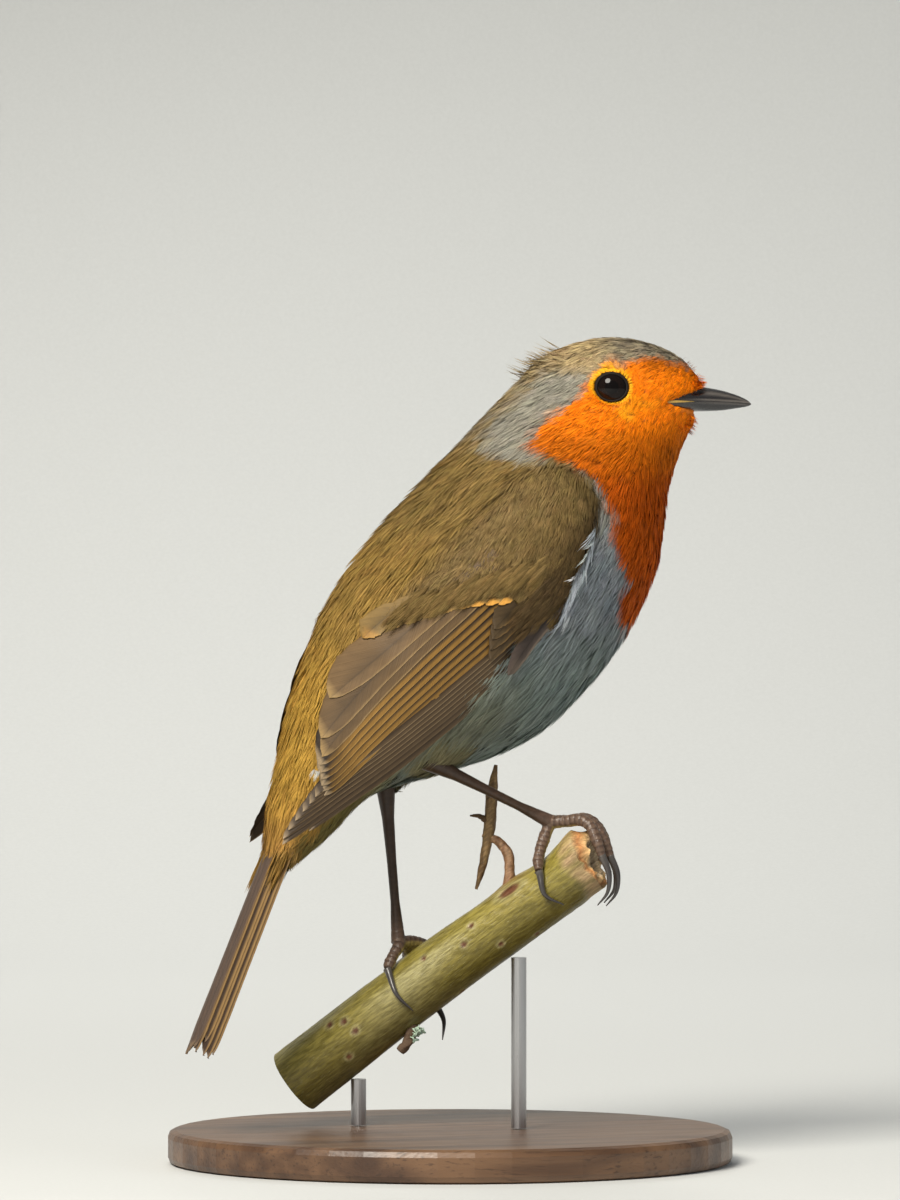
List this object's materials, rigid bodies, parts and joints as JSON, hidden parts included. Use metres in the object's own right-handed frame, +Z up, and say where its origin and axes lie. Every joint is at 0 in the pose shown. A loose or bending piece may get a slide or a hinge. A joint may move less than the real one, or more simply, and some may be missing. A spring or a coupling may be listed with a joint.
{
  "type": "european robin",
  "caption": "Life-size still model of a small songbird with an orange breast, head turned, gripping the broken end of a branch that a round wooden stand holds on rods.",
  "frame": {"origin": "centre of the stand base's underside, on the surface it stands on", "axes": "+X the way the bird's body faces, +Y the bird's left, +Z up"},
  "size_m": [0.0948, 0.092, 0.1345],
  "materials": {
    "trunk": "soft body feathers, olive-brown above and pale below",
    "neck": "soft feathers, orange in front and olive-brown behind",
    "head": "short soft feathers, orange face and olive-brown crown",
    "rump": "soft golden-olive feathers",
    "thigh": "soft buff-white feathers",
    "coverts": "small overlapping olive-brown vanes",
    "secondaries": "brown vanes with ochre edges",
    "primaries": "dark brown vanes with pale edges",
    "tail": "grey-brown vanes with ochre edges",
    "bill": "smooth dark horn",
    "eye": "wet, almost black",
    "leg": "dark brown scales",
    "claw": "smooth grey-black horn",
    "bark": "smooth olive-green bark with dark breathing pores",
    "stand": "dark stained, satin varnish",
    "steel": "drawn rod"
  },
  "bodies": {
    "root": {"bill_lower": "bill", "bill_upper": "bill", "claw_left_hind": "claw", "claw_left_inner": "claw", "claw_left_middle": "claw", "claw_left_outer": "claw", "claw_right_hind": "claw", "claw_right_inner": "claw", "claw_right_middle": "claw", "claw_right_outer": "claw", "eye_left": "eye", "eye_right": "eye", "head": "head", "leg_left": "leg", "leg_right": "leg", "neck": "neck", "perch_branch": "bark", "rump": "rump", "stand_base": "stand", "stand_rod_back": "steel", "stand_rod_front": "steel", "tail": "tail", "thigh_left": "thigh", "thigh_right": "thigh", "trunk": "trunk", "wing_left_coverts": "coverts", "wing_left_primaries": "primaries", "wing_left_secondaries": "secondaries", "wing_right_coverts": "coverts", "wing_right_primaries": "primaries", "wing_right_secondaries": "secondaries"}
  },
  "joints": []
}
